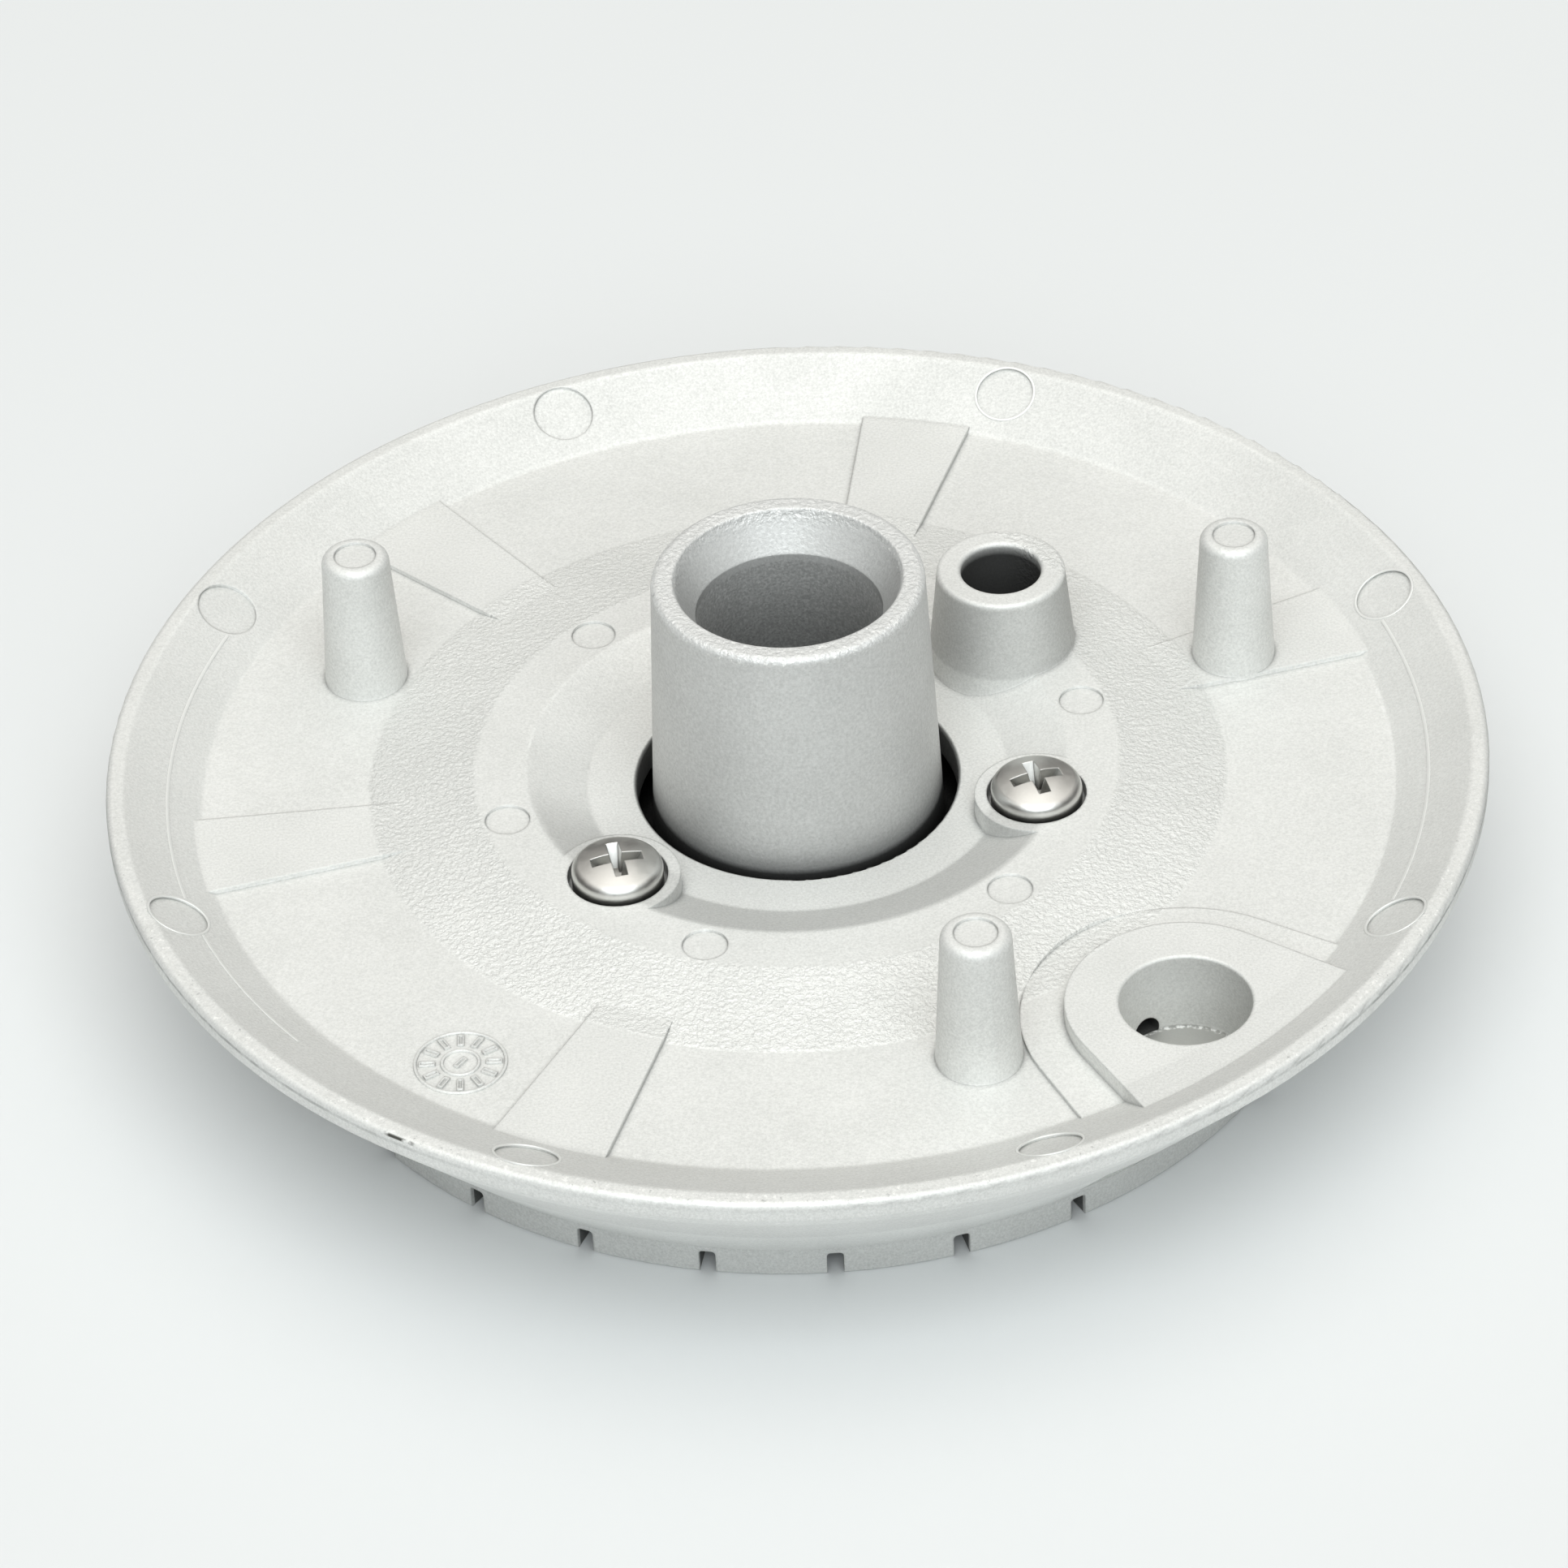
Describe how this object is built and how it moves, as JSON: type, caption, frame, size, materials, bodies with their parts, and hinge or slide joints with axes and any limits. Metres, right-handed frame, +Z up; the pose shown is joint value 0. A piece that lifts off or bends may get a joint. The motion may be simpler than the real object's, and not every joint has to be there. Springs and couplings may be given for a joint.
{
  "type": "range burner",
  "caption": "Die-cast gas range burner head lying upside down on its toothed crown, with a screwed-in venturi tube, tapered locating posts, a gas inlet boss and an igniter socket",
  "frame": {"origin": "on the burner's axis, in the plane of the crown rim it rests on", "axes": "+Z runs up the venturi tube towards its inlet, the way the burner lies in the picture; -Y points to the camera"},
  "size_m": [0.12, 0.12, 0.0382],
  "materials": {
    "head_casting": "as-cast, fine grain",
    "tube_casting": "as-cast, fine grain",
    "screw_steel": "plated, bright"
  },
  "bodies": {
    "root": {"burner_head": "head_casting", "venturi_tube": "tube_casting", "clamp_screws": "screw_steel"}
  },
  "joints": []
}
